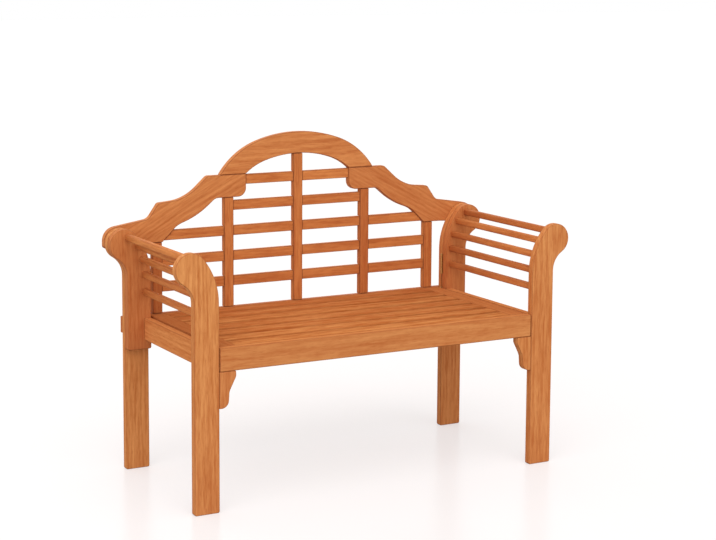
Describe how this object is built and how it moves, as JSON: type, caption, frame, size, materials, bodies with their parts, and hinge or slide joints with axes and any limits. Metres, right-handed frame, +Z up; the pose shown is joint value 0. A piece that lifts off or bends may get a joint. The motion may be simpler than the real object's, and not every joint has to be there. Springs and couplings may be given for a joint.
{
  "type": "folding garden bench",
  "caption": "Two-seat slatted garden bench in oiled hardwood, with an arched lattice back, scrolled slatted arms and a seat that tips up to fold.",
  "frame": {"origin": "on the ground, under the middle of the bench's outline", "axes": "+X along the bench to the right-hand end seen from its front, -Y towards the front, +Z up"},
  "size_m": [1.2, 0.5052, 0.9209],
  "materials": {
    "wood_legs": "oiled, satin",
    "wood_crest": "oiled, satin",
    "wood_laths": "oiled, satin",
    "wood_seat": "oiled, satin",
    "brass": "brass plated, dull"
  },
  "bodies": {
    "frame": {"rear_leg_left": "wood_legs", "front_leg_left": "wood_legs", "end_stile_left": "wood_legs", "corner_bracket_left": "wood_legs", "rear_leg_right": "wood_legs", "front_leg_right": "wood_legs", "end_stile_right": "wood_legs", "corner_bracket_right": "wood_legs", "crest_wing_left": "wood_crest", "crest_wing_right": "wood_crest", "crest_arch": "wood_crest", "back_bottom_rail": "wood_crest", "arm_slat_left_1": "wood_laths", "arm_slat_left_2": "wood_laths", "arm_slat_left_3": "wood_laths", "arm_slat_left_4": "wood_laths", "arm_slat_left_5": "wood_laths", "arm_slat_right_1": "wood_laths", "arm_slat_right_2": "wood_laths", "arm_slat_right_3": "wood_laths", "arm_slat_right_4": "wood_laths", "arm_slat_right_5": "wood_laths", "back_stile_1": "wood_laths", "back_stile_2": "wood_laths", "back_stile_3": "wood_laths", "back_stile_4": "wood_laths", "back_stile_5": "wood_laths", "back_rail_1": "wood_laths", "back_rail_2": "wood_laths", "back_rail_3": "wood_laths", "back_rail_4": "wood_laths", "back_rail_5": "wood_laths", "lower_rail_left": "wood_seat", "lower_rail_right": "wood_seat", "seat_pivot_pin_left": "brass", "hinge_left_1_leg_leaf": "brass", "hinge_left_1_stile_leaf": "brass", "hinge_left_1_pin": "brass", "hinge_left_2_leg_leaf": "brass", "hinge_left_2_stile_leaf": "brass", "hinge_left_2_pin": "brass", "seat_pivot_pin_right": "brass", "hinge_right_1_leg_leaf": "brass", "hinge_right_1_stile_leaf": "brass", "hinge_right_1_pin": "brass", "hinge_right_2_leg_leaf": "brass", "hinge_right_2_stile_leaf": "brass", "hinge_right_2_pin": "brass"},
    "seat": {"seat_apron": "wood_seat", "seat_slat_1": "wood_seat", "seat_slat_2": "wood_seat", "seat_slat_3": "wood_seat", "seat_slat_4": "wood_seat", "seat_slat_5": "wood_seat", "seat_slat_6": "wood_seat", "seat_slat_7": "wood_seat", "seat_end_rail_left": "wood_seat", "seat_support_left": "wood_seat", "seat_end_rail_right": "wood_seat", "seat_support_right": "wood_seat"}
  },
  "joints": [
    {"name": "seat_flip", "type": "hinge", "parent": "frame", "child": "seat", "pos_m": [0, 0.22085, 0.4195], "axis": [-1, 0, 0], "range_deg": [0, 90]}
  ]
}
